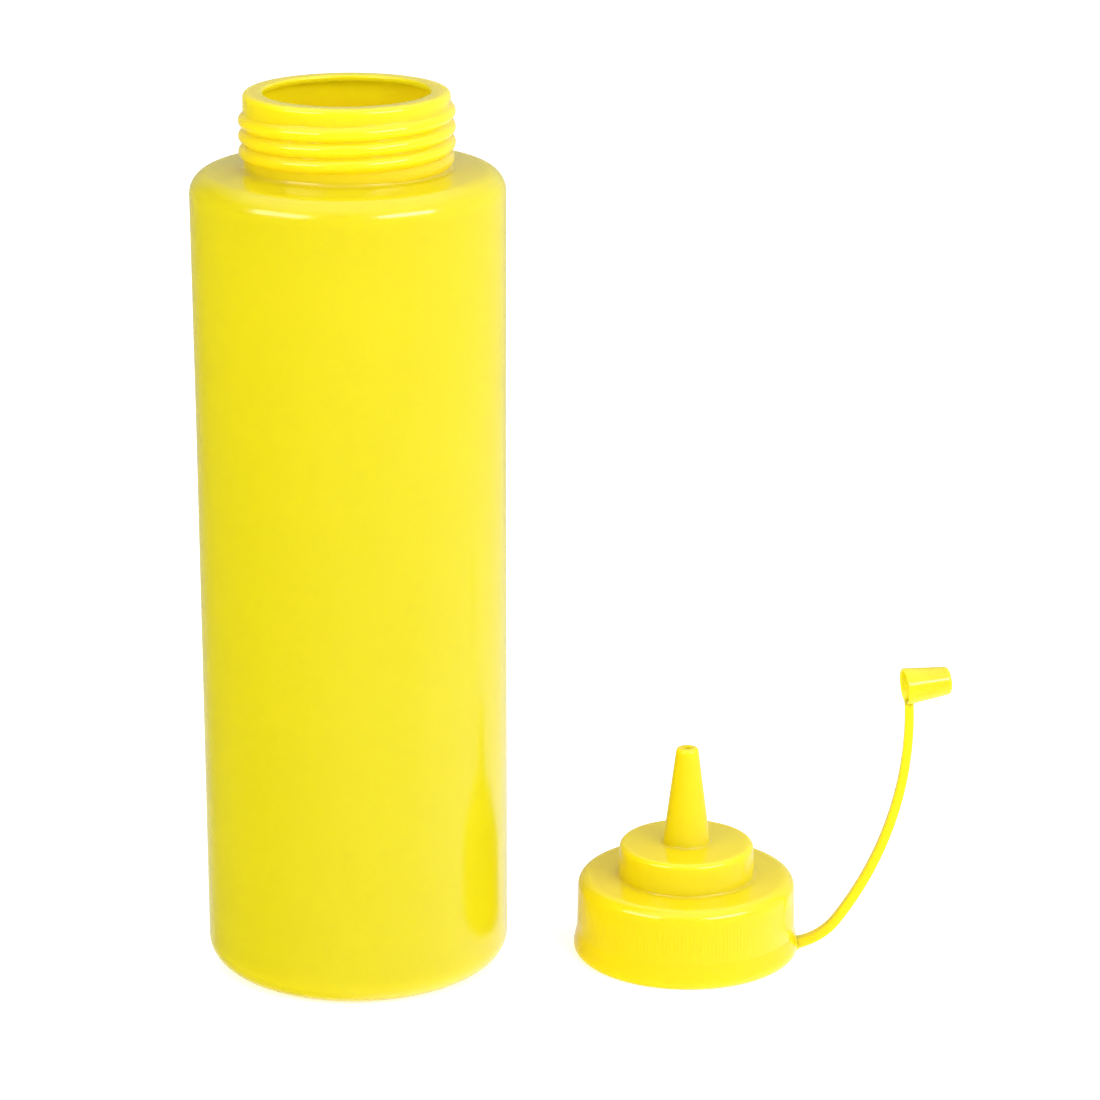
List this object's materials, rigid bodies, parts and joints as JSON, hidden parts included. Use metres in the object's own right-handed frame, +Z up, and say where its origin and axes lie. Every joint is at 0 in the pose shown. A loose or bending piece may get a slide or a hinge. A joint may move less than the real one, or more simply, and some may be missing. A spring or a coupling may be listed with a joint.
{
  "type": "condiment squeeze bottle",
  "caption": "Tall round squeeze bottle with an open threaded neck, its stepped nozzle cap set down beside it with strap and tip cap.",
  "frame": {"origin": "on the bottle's axis, in the plane that the bottle and the cap stand on", "axes": "+Z up along the bottle's axis, +X from the bottle towards the cap and its strap"},
  "size_m": [0.1939, 0.079, 0.2293],
  "materials": {
    "bottle": "gloss",
    "cap": "gloss"
  },
  "bodies": {
    "root": {"bottle": "bottle", "cap": "cap"}
  },
  "joints": []
}
